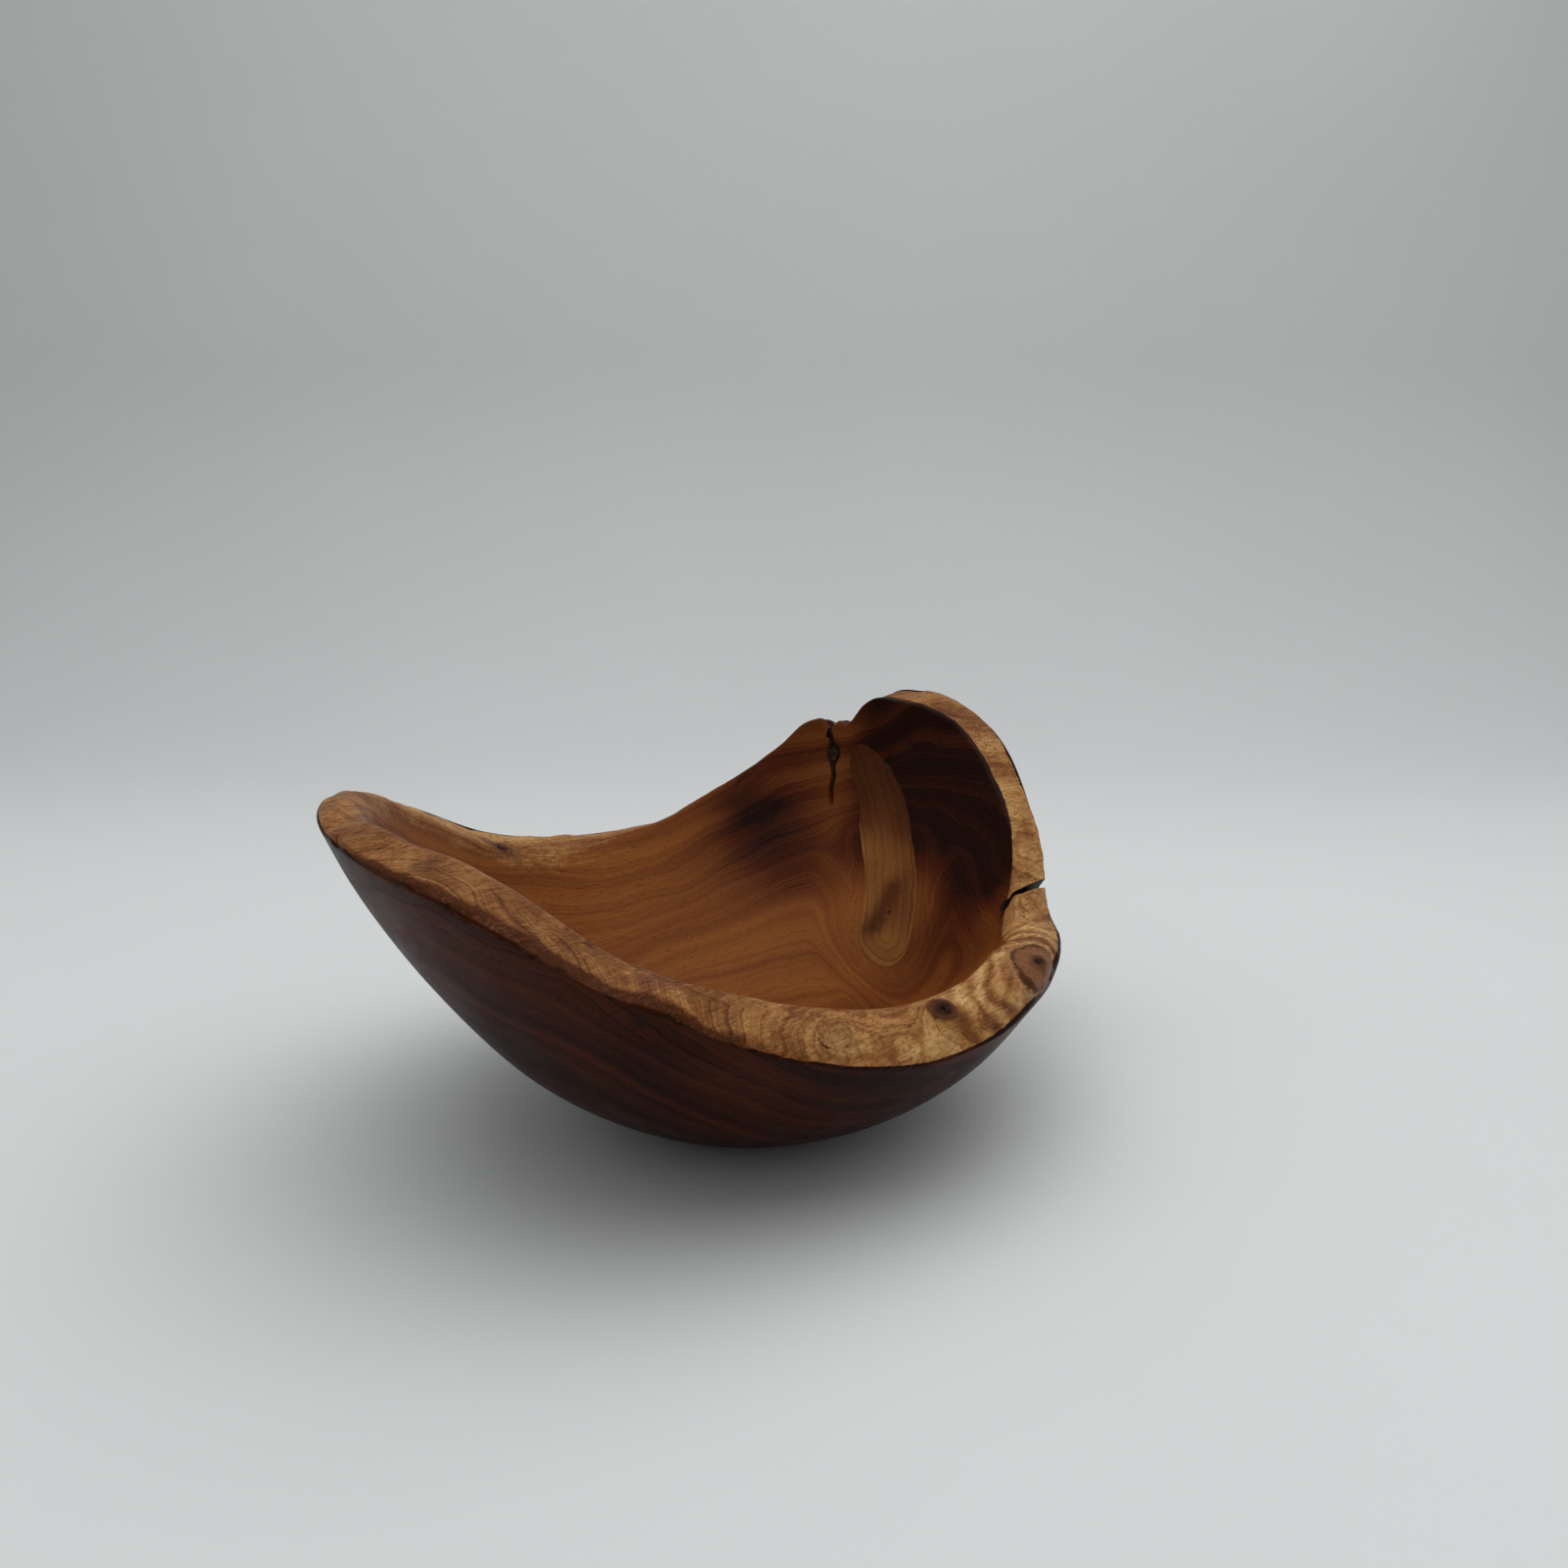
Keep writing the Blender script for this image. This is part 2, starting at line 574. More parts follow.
def stains(points, inside, azimuth, share_of_face):
    """Black marks: bark left on the edge, the notch's void and fissure, the crack, pits and the worm hole."""
    edge_line = barked(azimuth) * bump(share_of_face + 0.02, 0.07) * (1 - inside)
    stain = 0.85 * edge_line * ease(lattice_noise(points, 7.0, 47), -0.9, 0.3)
    fissures = groove(points, FISSURE_PATH, 1.6, 1.0) + groove(points, CRACK_INSIDE, 0.8, 1.4)
    stain += inside * (0.8 * blob(points, VOID, 3.4, (1, 1, 0.6)) + np.minimum(fissures, 1))
    stain += (1 - inside) * groove(points, CRACK_OUTSIDE, 0.8, 1.2)
    crack_column = np.argmin(np.abs(turn_from(azimuths, CRACK)))
    stain += 1.5 * capsule(points, rim[crack_column, 0], rim[crack_column, -1], 2.0)
    for wall_azimuth, height, radius, _ in WALL_PITS:
        stain += 0.8 * inside * blob(points, hollow_place(wall_azimuth, height), radius * 1.3)
    stain += inside * blob(points, WORM_HOLE, 1.4)
    stain += 0.9 * (1 - inside) * blob(points, outside_place(*OUTSIDE_PITS[0][:2]), 2.2, (1, 1, 0.7))
    return np.clip(stain, 0, 1)


def wood_fields(points, inside, share_of_face, below_edge):
    """Values at each vertex that the materials read.

    inside is 1 on the hollow's wall; share_of_face runs 0 to 1 across the rim's face; below_edge is the
    distance down the hollow's wall from the rim.
    """
    azimuth = azimuth_of(points)
    return {
        "growth": growth_levels(points, inside, azimuth, share_of_face),
        "light": heartwood_light(points, inside, azimuth),
        "sap_tone": sapwood_tone(points, inside, azimuth, share_of_face),
        "pale": paleness(points, azimuth, share_of_face, below_edge),
        "stain": stains(points, inside, azimuth, share_of_face),
    }


# ---------------- meshes
def make_piece(name, points, faces, fields, material, node):
    """A closed mesh in metres that rides on the part's one body and stands for a CAD node."""
    margin = 0.02
    points = np.clip(points, cad_low + margin, cad_high - margin)
    mesh = bpy.data.meshes.new(name)
    mesh.from_pydata((points * MM).tolist(), [], faces)
    mesh.validate()
    for polygon in mesh.polygons:
        polygon.use_smooth = True
    mesh.set_sharp_from_angle(angle=math.radians(50))
    for key, values in fields.items():
        attribute = mesh.attributes.new(key, "FLOAT", "POINT")
        attribute.data.foreach_set("value", np.ascontiguousarray(values, np.float32).ravel())
    mesh.materials.append(material)
    piece = bpy.data.objects.new(name, mesh)
    bpy.context.scene.collection.objects.link(piece)
    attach(piece, "root")
    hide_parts(node)


def ring_faces(first, second):
    """Faces between two closed rows of vertices, where the second may have half as many."""
    count = len(first)
    faces = []
    if len(second) == count:
        for i in range(count):
            j = (i + 1) % count
            faces.append((first[i], first[j], second[j], second[i]))
        return faces
    for k in range(len(second)):
        m = (k + 1) % len(second)
        a, b, c = first[2 * k], first[2 * k + 1], first[(2 * k + 2) % count]
        faces.append((a, b, second[k]))
        faces.append((b, c, second[m], second[k]))
    return faces


def ring_columns(radius):
    """How many grid columns make one column of a heartwood ring: more towards the axis."""
    for limit, columns in ((52, 1), (27, 2), (14, 4), (7, 8)):
        if radius > limit:
            return columns
    return 16


def ring_mesh(rings, first_middle, last_middle):
    """Points and faces of a closed surface through rings of points, from one middle point to another."""
    starts = np.cumsum([0] + [len(ring) for ring in rings])
    indices = [list(range(start, start + len(ring))) for start, ring in zip(starts, rings)]
    first_index, last_index = int(starts[-1]), int(starts[-1]) + 1
    faces = []
    for first, second in zip(indices[:-1], indices[1:]):
        if len(second) <= len(first):
            faces += ring_faces(first, second)
        else:
            faces += [face[::-1] for face in ring_faces(second, first)]
    for i, j in zip(indices[0], indices[0][1:] + indices[0][:1]):
        faces.append((first_index, j, i))
    for i, j in zip(indices[-1], indices[-1][1:] + indices[-1][:1]):
        faces.append((i, j, last_index))
    points = np.concatenate(list(rings) + [np.array([first_middle, last_middle])])
    return points, faces


def heartwood_mesh(material):
    """Rings run from the middle of the foot up the outside, under the rim, and down to the floor's middle."""
    seat = straight(rim[::HEART_STEP, :1], rim[::HEART_STEP, -1:], 5)[:, 1:-1]
    foot = level_direction(azimuths[::HEART_STEP])[:, None] * np.array([6.0, 12.5, 24.0])[None, :, None]
    grid = np.concatenate([foot, outside_grid[:, ::-1], seat, hollow_grid[:, :-1]], axis=1)
    rows_outside = grid.shape[1] - (HOLLOW_ROWS - 1)
    steps = np.linalg.norm(np.diff(grid, axis=1), axis=2)
    steps[:, :rows_outside] = 0
    below = rim_depth[::HEART_STEP, -1:] + np.concatenate([np.zeros((len(grid), 1)), steps.cumsum(1)], axis=1)
    rings, inside, depth = [], [], []
    for row in range(grid.shape[1]):
        step = ring_columns(np.linalg.norm(grid[:, row, :2], axis=1).min())
        ring = grid[::step, row]
        rings.append(ring)
        inside.append(np.full(len(ring), float(row >= rows_outside)))
        depth.append(below[::step, row])
    points, faces = ring_mesh(rings, (0, 0, 0), (0, HOLLOW_SHIFT[1], FLOOR_HEIGHT))
    inside = np.concatenate(inside + [[0.0, 1.0]])
    depth = np.concatenate(depth + [[100.0, 100.0]])
    fields = wood_fields(points, inside, inside * 1.9 - 0.3, depth)
    make_piece("bowl_heartwood", points, faces, fields, material, "heartwood_bowl")


def rim_mesh(name, columns, node, material):
    """One stretch of the sapwood rim: the sculpted surface, with the flat seat under it."""
    top = rim[columns]
    under = straight(top[:, -1:], top[:, :1], 5)[:, 1:-1]
    loop = np.concatenate([top, under], axis=1)
    length, width = loop.shape[:2]
    faces = []
    for i in range(length - 1):
        for j in range(width):
            k = (j + 1) % width
            faces.append((i * width + j, (i + 1) * width + j, (i + 1) * width + k, i * width + k))
    faces.append(tuple(range(width)))
    faces.append(tuple(range(length * width - 1, (length - 1) * width - 1, -1)))
    under_share = np.full(under.shape[1], 0.5)
    face_share = np.concatenate([share, under_share])[None] + np.zeros((length, 1))
    inside = ease(face_share, 0.98, 1.06)
    below = np.concatenate([rim_depth[columns], np.zeros(under.shape[:2])], axis=1)
    fields = wood_fields(loop, inside, face_share, below)
    fields["stain"][[0, -1]] = 1.0
    fields = {key: values.reshape(-1) for key, values in fields.items()}
    make_piece(name, loop.reshape(-1, 3), faces, fields, material, node)


def lens_mesh(name, top, bottom, fields, material, node):
    """Closed piece between two grids of the same size."""
    rows, columns = top.shape[:2]
    count = rows * columns
    points = np.concatenate([top.reshape(-1, 3), bottom.reshape(-1, 3)])
    faces = []
    for i in range(rows - 1):
        for j in range(columns - 1):
            a = i * columns + j
            b, c, d = a + 1, a + columns + 1, a + columns
            faces.append((a, b, c, d))
            faces.append((d + count, c + count, b + count, a + count))
    border = list(range(columns))
    border += [i * columns + columns - 1 for i in range(1, rows)]
    border += [(rows - 1) * columns + j for j in range(columns - 2, -1, -1)]
    border += [i * columns for i in range(rows - 2, 0, -1)]
    for first, second in zip(border, border[1:] + border[:1]):
        faces.append((second, first, first + count, second + count))
    fields = {key: np.concatenate([values.reshape(-1)] * 2) for key, values in fields.items()}
    make_piece(name, points, faces, fields, material, node)


# ---------------- streak and bark
def streak_mesh(material):
    """The sapwood streak: a thin tongue let into the hollow's wall, rounded at its foot and its top."""
    rows, columns = 96, 34
    foot_run, top_run = hollow.run(STREAK_FOOT), hollow.run(STREAK_TOP)
    runs = foot_run + (top_run - foot_run) * (1 - np.cos(np.linspace(0, math.pi, rows))) / 2
    heights = np.interp(runs, hollow.runs, hollow.heights)
    half = np.interp(heights, (32, 70, 90, 104), (STREAK_HALF, STREAK_HALF, 10.5, 8.0))
    foot_round = np.sqrt(1 - (1 - np.clip((runs - foot_run) / 13, 0.002, 1)) ** 2)
    top_round = np.sqrt(1 - (1 - np.clip((top_run - runs) / 12, 0.002, 1)) ** 2)
    half = half * foot_round * top_round
    t = np.sin(np.linspace(-1, 1, columns) * math.pi / 2)
    forward, sideways = level_direction(STREAK_AZIMUTH), level_direction(STREAK_AZIMUTH + 90)
    lateral = streak_centre(heights)[:, None] + half[:, None] * t[None]
    level_line = np.stack([lateral * 0, heights[:, None] + lateral * 0, lateral * 0 + 3], -1)
    lateral = lateral + 0.5 * lattice_noise(level_line, 7.0, 53)
    shifted = lateral - HOLLOW_SHIFT @ sideways
    reach = np.sqrt(np.maximum(hollow.radius(heights)[:, None] ** 2 - shifted ** 2, 1))
    surface = HOLLOW_SHIFT + reach[..., None] * forward + shifted[..., None] * sideways
    surface[..., 2] = heights[:, None]
    normals = -grid_normals(surface, closed=False)
    normals *= np.sign((normals * -surface * (1, 1, 0)).sum(-1, keepdims=True))
    edge = np.maximum(np.abs(np.linspace(-1, 1, columns))[None], np.abs(np.linspace(-1, 1, rows))[:, None])
    raised = 0.14 - 0.7 * ease(edge, 0.93, 1.0)
    surface = surface + normals * hollow_relief(surface)[..., None]
    top = surface + normals * raised[..., None]
    bottom = surface - normals * 3.0
    core = capsule(top, hollow_place(2.5, 43), hollow_place(3.0, 55), 4.6)
    head = ease(heights, 62, 100)[:, None]
    fields = {
        "growth": streak_distance(top) * 1.1,
        "light": 0.46 - 0.37 * head - 0.28 * core + 0.08 * lattice_noise(top, 16.0, 71),
        "stain": stains(top, 1.0, azimuth_of(top), 1.3),
    }
    lens_mesh("sapwood_streak", top, bottom, fields, material, "sapwood_streak")


def bark_mesh(material):
    """The bark caught in the notch: a crinkled strip across the rim and down the hollow's wall."""
    column = int(np.argmin(np.abs(turn_from(azimuths, NOTCH))))
    across = rim[column, FACE_START - 3:FACE_END + 4]
    down_wall = hollow_path(*zip(np.linspace(27.9, 26.2, 30), np.linspace(108, 88, 30)))
    path = np.concatenate([across, np.array(down_wall)])
    spans = np.concatenate([[0], np.linalg.norm(np.diff(path, axis=0), axis=1).cumsum()])
    even = np.linspace(0, spans[-1], 110)
    path = np.stack([np.interp(even, spans, path[:, axis]) for axis in range(3)], axis=-1)
    inward = -level_direction(NOTCH)
    on_wall = ease(even, spans[len(across) - 1] - 3, spans[len(across) - 1] + 3)[:, None]
    seen = np.array([0, 0, 1.0]) * (1 - on_wall) + inward * on_wall
    sideways = level_direction(NOTCH + 90)
    half = 0.75 + 0.35 * lattice_noise(path, 4.0, 59)
    half = half + 1.5 * np.exp(-((path[:, 2] - VOID[2]) / 3.5) ** 2) * on_wall[:, 0]
    half = half * (1 - 0.7 * ease(even, spans[-1] - 12, spans[-1]))
    t = np.linspace(-1, 1, 9)
    surface = path[:, None] + sideways * (half[:, None] * t[None])[..., None]
    crinkle = 0.45 * lattice_noise(surface, 1.6, 61) - 0.25 * np.abs(t)[None]
    top = surface + seen[:, None] * (crinkle - 0.9)[..., None]
    bottom = surface - seen[:, None] * 4.0
    lens_mesh("bark_strip", top[::-1], bottom[::-1], {}, material, "bark_seam")


# ---------------- knots
def rim_surface(azimuth, part):
    """Points and normals of the sculpted rim at azimuths and shares of the way across the face."""
    columns = np.interp(np.asarray(azimuth) % 360, np.sort(azimuths % 360), np.arange(RIM_COLUMNS))
    order = np.argsort(azimuths % 360)
    rows = np.clip(FACE_START + np.asarray(part) * (BAND_ROWS - 1), 0, rim.shape[1] - 1.001)
    low_row = rows.astype(int)
    low_column = columns.astype(int)
    u = (columns - low_column)[..., None]
    v = (rows - low_row)[..., None]
    here, there = order[low_column % RIM_COLUMNS], order[(low_column + 1) % RIM_COLUMNS]

    def sample(grid):
        near = grid[here, low_row] * (1 - v) + grid[here, low_row + 1] * v
        far = grid[there, low_row] * (1 - v) + grid[there, low_row + 1] * v
        return near * (1 - u) + far * u

    return sample(rim_skin), sample(rim_normals), sample(rim_depth[..., None])[..., 0]


rim_normals = grid_normals(rim_skin)

# For each knot: height of the lip round its eye, depth of the pith, how dark it is, and how much of its ring
# pattern the plug shows: a small share leaves only the dark middle.
EYES = {
    "knot_burl": dict(lip=0.5, pith=1.3, dark=1.0, shown=1.0),
    "knot_front": dict(lip=0.3, pith=1.2, dark=1.3, shown=0.22),
    "knot_ringed": dict(lip=0.12, pith=0.3, dark=0.40, shown=1.0),
    "knot_tip": dict(lip=0.05, pith=0.1, dark=0.22, shown=1.0),
    "knot_back": dict(lip=0.05, pith=0.2, dark=1.0, shown=0.5),
}


def knot_mesh(name, material):
    """A knot: a thin oval plug that fills its pocket level with the rim, with a sunk pith and a faint lip."""
    knot, eye = KNOTS[name], EYES[name]
    rings, turns, thickness = 34, 120, 3.2
    radii = (np.arange(1, rings + 1) / rings)[:, None]
    turn = np.radians(np.arange(turns) * 360 / turns)[None]
    place = rim_place(knot["azimuth"], min(knot["share"], 1.0))
    width = np.linalg.norm(rim_place(knot["azimuth"], 1) - rim_place(knot["azimuth"], 0))
    from_axis = np.hypot(place[0], place[1])
    azimuth = knot["azimuth"] + np.degrees(knot["round"] * radii * np.cos(turn) / from_axis)
    share_here = knot["share"] + knot["across"] * radii * np.sin(turn) / width
    surface, normals, depth = rim_surface(azimuth, share_here)
    normals /= np.linalg.norm(normals, axis=-1, keepdims=True)
    wobble = 1 + 0.09 * np.sin(2 * turn + 1) + 0.06 * np.sin(3 * turn + 2.2) + 0.03 * np.sin(7 * turn)
    level = radii * (wobble * (1 - radii) + radii)
    profile = eye["lip"] * bump(level - 0.72, 0.12) - eye["pith"] * bump(level, 0.12)
    profile = profile - 0.3 * eye["lip"] * bump(level - 0.33, 0.07) + 0.05 - 0.6 * ease(radii, 0.94, 1.0)
    profile = profile + 0.12 * lattice_noise(surface, 1.3, 67) * (1 - ease(radii, 0.7, 0.9))
    top = surface + normals * profile[..., None]
    bottom = surface - normals * thickness
    loops = list(bottom) + list(top[::-1])
    middle, straight_up = surface[0].mean(0), normals[0].mean(0)
    foot, head = middle - straight_up * thickness, middle + straight_up * profile[0].mean()
    points, faces = ring_mesh(loops, foot, head)

    def spread_out(values, at_middle):
        return np.concatenate([values.reshape(-1), values[::-1].reshape(-1), [at_middle, at_middle]])

    inside = spread_out(ease(share_here, 0.98, 1.06), 0.0)
    fields = wood_fields(points, inside, spread_out(share_here, knot["share"]), spread_out(depth, 0.0))
    fields["eye"] = spread_out(level, 0.0)
    fields["shown"] = points[:, 0] * 0 + eye["shown"]
    fields["darkness"] = points[:, 0] * 0 + eye["dark"]
    make_piece(name + "_plug", points, faces, fields, material, name)


# ---------------- materials
class Shader:
    """Short names for the few kinds of shader node that the materials here use."""

    def __init__(self, name):
        self.material = bpy.data.materials.new(name)
        self.material.use_nodes = True
        self.tree = self.material.node_tree
        self.surface = self.tree.nodes["Principled BSDF"]
        self.place = self.scaled(self.add("ShaderNodeTexCoord").outputs["Object"], (1000, 1000, 1000))

    def add(self, kind, **settings):
        node = self.tree.nodes.new(kind)
        for key, value in settings.items():
            setattr(node, key, value)
        return node

    def put(self, socket, value):
        if isinstance(value, bpy.types.NodeSocket):
            self.tree.links.new(value, socket)
        else:
            socket.default_value = value

    def scaled(self, vector, scale):
        node = self.add("ShaderNodeVectorMath", operation="MULTIPLY")
        self.put(node.inputs[0], vector)
        self.put(node.inputs[1], scale)
        return node.outputs[0]

    def value(self, name):
        return self.add("ShaderNodeAttribute", attribute_name=name).outputs["Fac"]

    def math(self, operation, first, second=0.0, clamp=False):
        """One sum of two values; the second is not read where the operation takes one."""
        node = self.add("ShaderNodeMath", operation=operation, use_clamp=clamp)
        self.put(node.inputs[0], first)
        self.put(node.inputs[1], second)
        return node.outputs[0]

    def noise(self, scale, detail, rough, stretch=(1, 1, 1)):
        node = self.add("ShaderNodeTexNoise")
        self.put(node.inputs["Vector"], self.scaled(self.place, stretch))
        self.put(node.inputs["Scale"], scale)
        self.put(node.inputs["Detail"], detail)
        self.put(node.inputs["Roughness"], rough)
        return node.outputs["Fac"]

    def bands(self, level, scale, detail):
        """Noise that changes only with one level, so that it draws bands along the level's contours."""
        node = self.add("ShaderNodeTexNoise", noise_dimensions="1D")
        self.put(node.inputs["W"], level)
        self.put(node.inputs["Scale"], scale)
        self.put(node.inputs["Detail"], detail)
        return node.outputs["Fac"]

    def spread(self, value, low, high, to_low=0.0, to_high=1.0):
        """Maps low to high onto to_low to to_high, and holds the ends."""
        node = self.add("ShaderNodeMapRange", clamp=True)
        for socket, number in zip(node.inputs, (value, low, high, to_low, to_high)):
            self.put(socket, number)
        return node.outputs[0]

    def vary(self, value, noise, amount):
        """The value with a noise added that moves it up or down by at most that amount."""
        return self.math("ADD", value, self.spread(noise, 0.3, 0.7, -amount, amount))

    def ramp(self, value, *stops):
        """Colours at places between 0 and 1, blended between them."""
        node = self.add("ShaderNodeValToRGB")
        elements = node.color_ramp.elements
        while len(elements) < len(stops):
            elements.new(0.5)
        for element, (place, colour) in zip(elements, stops):
            element.position = place
            element.color = (*colour, 1)
        self.put(node.inputs[0], value)
        return node.outputs[0]

    def blend(self, amount, first, second):
        node = self.add("ShaderNodeMix", data_type="RGBA")
        self.put(node.inputs["Factor"], amount)
        self.put(node.inputs["A"], (*first, 1) if isinstance(first, tuple) else first)
        self.put(node.inputs["B"], (*second, 1) if isinstance(second, tuple) else second)
        return node.outputs["Result"]

    def finish(self, colour, roughness, height, bump_strength, bump_distance=0.0004):
        self.put(self.surface.inputs["Base Color"], colour)
        self.put(self.surface.inputs["Roughness"], roughness)
        self.put(self.surface.inputs["Specular IOR Level"], 0.05)
        node = self.add("ShaderNodeBump")
        self.put(node.inputs["Strength"], bump_strength)
        self.put(node.inputs["Distance"], bump_distance)
        self.put(node.inputs["Height"], height)
        self.put(self.surface.inputs["Normal"], node.outputs[0])
        return self.material


def wood_grain(shader):
    """The grain all the bowl's wood shares: growth bands, thin dark ring lines, fibres and pores."""
    waver = shader.noise(0.16, 3, 0.55, (0.4, 1, 1))
    growth = shader.math("ADD", shader.value("growth"), shader.math("MULTIPLY", waver, 3.2))
    broad = shader.bands(growth, 0.11, 2)
    fine = shader.bands(growth, 0.9, 2)
    crest = shader.math("ABSOLUTE", shader.math("SUBTRACT", shader.bands(growth, 0.24, 1), 0.5))
    lines = shader.spread(crest, 0.0, 0.035, 1.0, 0.0)
    fibre = shader.noise(1.0, 4, 0.6, (0.10, 1.6, 1.6))
    pores = shader.noise(1.0, 2, 0.5, (0.16, 2.4, 2.4))
    pores = shader.spread(pores, 0.60, 0.70)
    return broad, fine, lines, fibre, pores


def heart_colour(shader, broad, fine, lines, fibre):
    tone = shader.vary(shader.value("light"), broad, 0.08)
    tone = shader.vary(tone, fine, 0.03)
    tone = shader.vary(tone, fibre, 0.04)
    tone = shader.math("SUBTRACT", tone, shader.math("MULTIPLY", lines, 0.08))
    return shader.ramp(tone, (0.0, (0.014, 0.0026, 0.0007)), (0.22, (0.075, 0.015, 0.003)),
                       (0.50, (0.195, 0.056, 0.011)), (0.78, (0.33, 0.115, 0.022)),
                       (1.0, (0.46, 0.20, 0.05)))


def sap_colour(shader, broad, fine, lines, fibre):
    patches = shader.noise(0.07, 3, 0.55)
    tone = shader.spread(patches, 0.3, 0.7, 0.40, 0.72)
    tone = shader.vary(tone, fibre, 0.15)
    tone = shader.math("ADD", tone, shader.value("sap_tone"))
    tone = shader.vary(tone, broad, 0.10)
    tone = shader.vary(tone, fine, 0.07)
    tone = shader.math("SUBTRACT", tone, shader.math("MULTIPLY", lines, 0.20))
    colour = shader.ramp(tone, (0.0, (0.070, 0.020, 0.005)), (0.3, (0.22, 0.082, 0.024)),
                         (0.6, (0.43, 0.205, 0.064)), (1.0, (0.72, 0.45, 0.18)))
    freckles = shader.noise(1.0, 3, 0.65, (0.7, 1, 1))
    freckled = shader.spread(shader.noise(0.045, 2, 0.5), 0.38, 0.6, 0.35, 1.0)
    freckles = shader.math("MULTIPLY", shader.spread(freckles, 0.50, 0.62, 0.0, 0.75), freckled)
    return shader.blend(freckles, colour, (0.17, 0.050, 0.017))


# Colours of a knot from the middle outwards: black pith, brown rings, a dark ring, a pale lip, brown again.
EYE_COLOURS = [
    (0.0, (0.006, 0.003, 0.002)), (0.09, (0.015, 0.006, 0.003)), (0.15, (0.11, 0.036, 0.012)),
    (0.40, (0.27, 0.115, 0.042)), (0.62, (0.24, 0.095, 0.034)), (0.70, (0.075, 0.026, 0.009)),
    (0.76, (0.085, 0.030, 0.011)), (0.83, (0.46, 0.250, 0.100)), (0.95, (0.26, 0.12, 0.046)),
]


def knot_colour(shader, colour):
    """Lays a knot's rings over the wood round it; the eye runs from 0 at the pith to 1 at the plug's edge."""
    waver = shader.noise(0.5, 3, 0.6)
    level = shader.vary(shader.value("eye"), waver, 0.05)
    eye = shader.ramp(shader.math("MULTIPLY", level, shader.value("shown")), *EYE_COLOURS)
    rings = shader.bands(level, 17.0, 2)
    eye = shader.blend(shader.spread(rings, 0.46, 0.7, 0.0, 0.35), eye, (0.07, 0.022, 0.008))
    speckle = shader.spread(shader.noise(1.6, 3, 0.6), 0.50, 0.62, 0.0, 0.6)
    eye = shader.blend(speckle, eye, (0.09, 0.026, 0.009))
    amount = shader.spread(level, 0.74, 0.99, 1.0, 0.0)
    amount = shader.math("MULTIPLY", amount, shader.value("darkness"), clamp=True)
    return shader.blend(amount, colour, eye)


def wood_material(name, knotted=False):
    shader = Shader(name)
    broad, fine, lines, fibre, pores = wood_grain(shader)
    ragged = shader.noise(0.55, 3, 0.6, (0.5, 1, 1))
    pale = shader.vary(shader.value("pale"), ragged, 0.16)
    pale = shader.spread(pale, 0.30, 0.70)
    colour = shader.blend(pale, heart_colour(shader, broad, fine, lines, fibre),
                          sap_colour(shader, broad, fine, lines, fibre))
    colour = shader.blend(shader.math("MULTIPLY", pores, 0.42), colour, (0.03, 0.010, 0.004))
    if knotted:
        colour = knot_colour(shader, colour)
    crumbs = shader.noise(1.2, 3, 0.6)
    stain = shader.vary(shader.value("stain"), crumbs, 0.22)
    colour = shader.blend(shader.spread(stain, 0.22, 0.75), colour, (0.013, 0.006, 0.003))
    roughness = shader.spread(shader.noise(0.09, 3, 0.6), 0.3, 0.7, 0.34, 0.46)
    roughness = shader.math("ADD", roughness, shader.math("MULTIPLY", pores, 0.15))
    height = shader.math("SUBTRACT", shader.math("MULTIPLY", fibre, 0.5), shader.math("MULTIPLY", pores, 0.8))
    return shader.finish(colour, roughness, height, 0.45, 0.0003)


def streak_material():
    """The streak's wood: clear orange, darker at its head and its core, with lines that follow its foot."""
    shader = Shader("streak wood")
    broad, fine, lines, fibre, pores = wood_grain(shader)
    tone = shader.vary(shader.value("light"), broad, 0.07)
    tone = shader.vary(tone, fibre, 0.05)
    tone = shader.math("SUBTRACT", tone, shader.math("MULTIPLY", lines, 0.12))
    colour = shader.ramp(tone, (0.0, (0.025, 0.006, 0.002)), (0.3, (0.11, 0.032, 0.007)),
                         (0.6, (0.29, 0.115, 0.028)), (1.0, (0.46, 0.22, 0.075)))
    colour = shader.blend(shader.math("MULTIPLY", pores, 0.35), colour, (0.05, 0.015, 0.005))
    colour = shader.blend(shader.spread(shader.value("stain"), 0.22, 0.75), colour, (0.013, 0.006, 0.003))
    roughness = shader.spread(shader.noise(0.09, 3, 0.6), 0.3, 0.7, 0.40, 0.54)
    return shader.finish(colour, roughness, fibre, 0.2, 0.0002)


def bark_material():
    shader = Shader("bark")
    flakes = shader.noise(0.9, 5, 0.65)
    colour = shader.ramp(flakes, (0.3, (0.006, 0.004, 0.003)), (0.52, (0.028, 0.015, 0.009)),
                         (0.72, (0.085, 0.05, 0.03)))
    return shader.finish(colour, shader.spread(flakes, 0.3, 0.7, 0.75, 0.95), flakes, 0.8, 0.0008)


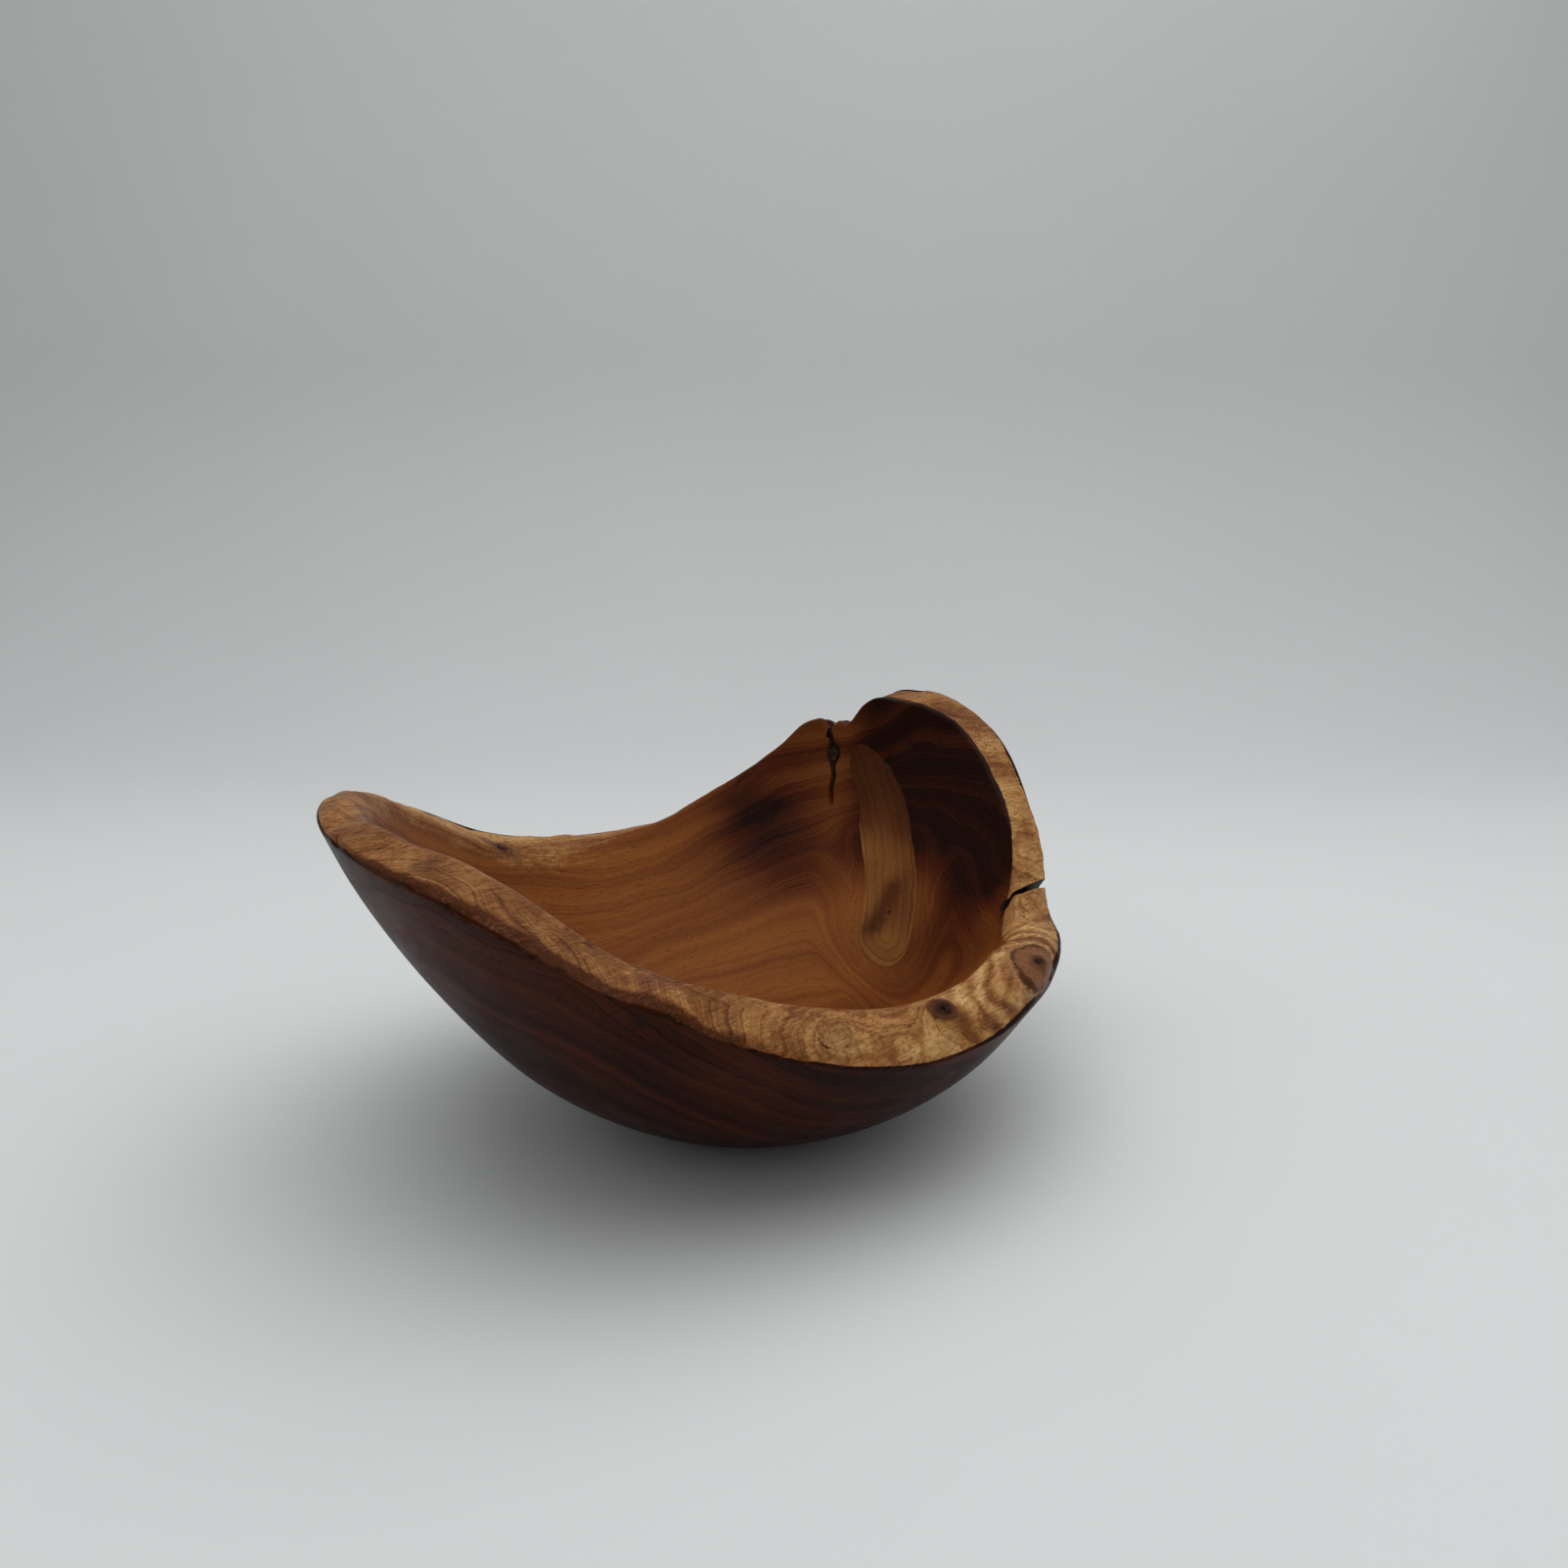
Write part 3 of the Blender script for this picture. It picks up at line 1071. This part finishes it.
# ---------------- floor, light and camera
def backdrop():
    """A pale floor that sweeps up behind the bowl into a wall."""
    view = np.array([math.sqrt(0.5), math.sqrt(0.5), 0])
    right = np.array([math.sqrt(0.5), -math.sqrt(0.5), 0])
    start, bend = 0.62, 0.42
    rises = [(-1.6, 0.0), (0.25, 0.0), (0.35, 0.0), (0.45, 0.0), (start, 0.0)]
    for step in range(1, 17):
        angle = step / 16 * math.pi / 2
        rises.append((start + bend * math.sin(angle), bend * (1 - math.cos(angle))))
    rises.append((start + bend, 2.6))
    points = [tuple(view * along + right * side + np.array([0, 0, up]))
              for along, up in rises for side in (-2.4, 2.4)]
    faces = [(2 * i, 2 * i + 1, 2 * i + 3, 2 * i + 2) for i in range(len(rises) - 1)]
    mesh = bpy.data.meshes.new("floor")
    mesh.from_pydata(points, [], faces)
    for polygon in mesh.polygons:
        polygon.use_smooth = True
    paler = mesh.attributes.new("paler", "FLOAT", "POINT")
    shades = [1 - float(ease(along, 0.2, 0.9)) for along, _ in rises for _ in range(2)]
    paler.data.foreach_set("value", shades)
    shader = Shader("floor paper")
    speckle = shader.noise(0.004, 2, 0.5)
    wall = shader.ramp(speckle, (0.3, (0.715, 0.725, 0.725)), (0.7, (0.73, 0.74, 0.74)))
    floor_colour = shader.ramp(speckle, (0.3, (0.80, 0.81, 0.805)), (0.7, (0.815, 0.825, 0.82)))
    colour = shader.blend(shader.value("paler"), wall, floor_colour)
    mesh.materials.append(shader.finish(colour, 0.85, speckle, 0.02))
    floor = bpy.data.objects.new("floor", mesh)
    bpy.context.scene.collection.objects.link(floor)
    floor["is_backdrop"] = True


def area_light(name, place, aim, size, watts):
    light = bpy.data.lights.new(name, "AREA")
    light.shape = "RECTANGLE"
    light.size, light.size_y = size
    light.energy = watts
    lamp = bpy.data.objects.new(name, light)
    lamp.location = place
    lamp.rotation_euler = (Vector(aim) - Vector(place)).to_track_quat("-Z", "Y").to_euler()
    bpy.context.scene.collection.objects.link(lamp)


def sky():
    """A soft grey tent round the bowl, palest above it on the side away from the camera."""
    world = bpy.data.worlds.new("world")
    world.use_nodes = True
    tree = world.node_tree
    facing = tree.nodes.new("ShaderNodeVectorMath")
    facing.operation = "DOT_PRODUCT"
    facing.inputs[1].default_value = (0.60, 0.60, 0.53)
    tree.links.new(tree.nodes.new("ShaderNodeTexCoord").outputs["Generated"], facing.inputs[0])
    lifted = tree.nodes.new("ShaderNodeMapRange")
    lifted.inputs["From Min"].default_value = -0.75
    lifted.inputs["From Max"].default_value = 1.0
    tree.links.new(facing.outputs["Value"], lifted.inputs["Value"])
    tent = tree.nodes.new("ShaderNodeValToRGB")
    dim, bright = tent.color_ramp.elements
    dim.position, dim.color = 0.0, (0.10, 0.095, 0.09, 1)
    bright.position, bright.color = 0.75, (0.66, 0.68, 0.70, 1)
    tree.links.new(lifted.outputs[0], tent.inputs[0])
    tree.links.new(tent.outputs[0], tree.nodes["Background"].inputs["Color"])
    bpy.context.scene.world = world


def camera_view():
    camera = bpy.data.cameras.new("camera")
    camera.sensor_width = 36.0
    camera.lens = 27.0
    view = bpy.data.objects.new("camera", camera)
    view.location = (-0.26166, -0.27740, 0.17600)
    view.rotation_euler = (math.radians(80), 0, math.radians(-45))
    bpy.context.scene.collection.objects.link(view)
    bpy.context.scene.camera = view
    bpy.context.scene.view_settings.view_transform = "Standard"


def light_and_camera():
    right, forward, up = Vector((0.7071, -0.7071, 0)), Vector((0.7071, 0.7071, 0)), Vector((0, 0, 1))
    area_light("key", right * 0.14 + forward * 0.04 + up * 1.30, (0, 0, 0), (1.8, 1.8), 10.3)
    sky()
    camera_view()


def rim_columns(start, end):
    """Grid columns from one azimuth anticlockwise to another."""
    reach = (azimuths - start) % 360
    chosen = np.flatnonzero(reach <= (end - start) % 360)
    return chosen[np.argsort(reach[chosen])]


def build():
    heart = wood_material("oiled heartwood")
    sap = wood_material("oiled sapwood")
    knot_wood = wood_material("knot wood", knotted=True)
    heartwood_mesh(heart)
    long_way = rim_columns(NOTCH + NOTCH_HALF, CRACK - CRACK_HALF)
    under_crown = rim_columns(CRACK + CRACK_HALF, NOTCH - NOTCH_HALF)
    rim_mesh("rim_sapwood_long", long_way, "sapwood_edge_long", sap)
    rim_mesh("rim_sapwood_crown", under_crown, "sapwood_edge_crown", sap)
    streak_mesh(streak_material())
    bark_mesh(bark_material())
    for name in KNOTS:
        knot_mesh(name, knot_wood)
    backdrop()
    light_and_camera()


build()
